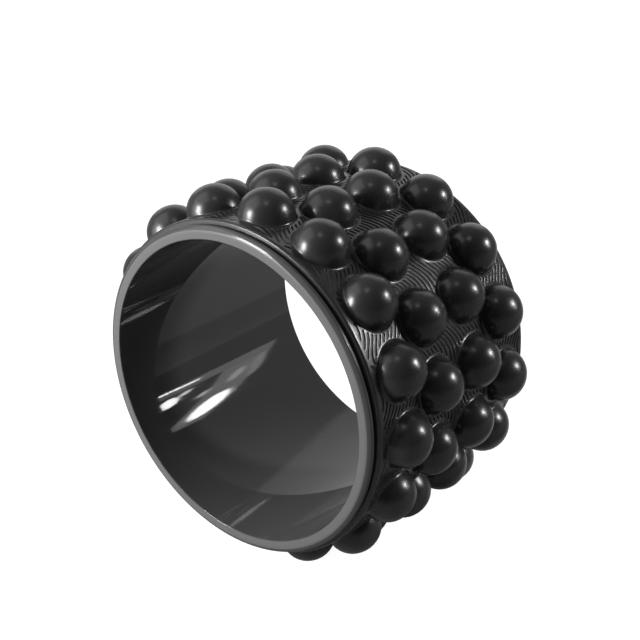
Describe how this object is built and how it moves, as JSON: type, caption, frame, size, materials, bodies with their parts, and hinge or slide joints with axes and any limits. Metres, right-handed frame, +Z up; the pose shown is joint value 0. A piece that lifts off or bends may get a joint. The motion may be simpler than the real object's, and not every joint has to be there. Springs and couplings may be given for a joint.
{
  "type": "back roller wheel",
  "caption": "Open drum roller with a rigid lipped rim and a bonded sleeve of staggered rounded massage domes, rolled under the back.",
  "frame": {"origin": "centre of the wheel, on its axis and midway between its two end faces", "axes": "+Y along the wheel's axis, +Z up as the wheel stands on its tread, between one outer and one inner row of domes"},
  "size_m": [0.1932, 0.13, 0.1932],
  "materials": {
    "drum": "dark grey moulded plastic with a smooth satin gloss",
    "bond": "translucent buff adhesive film, hidden between the tube and the sleeve",
    "sleeve": "near-black moulded elastomer foam with a satin skin and fine wavy ribs between the domes"
  },
  "bodies": {
    "root": {"core_drum": "drum", "bond_film": "bond", "massage_sleeve": "sleeve"}
  },
  "joints": []
}
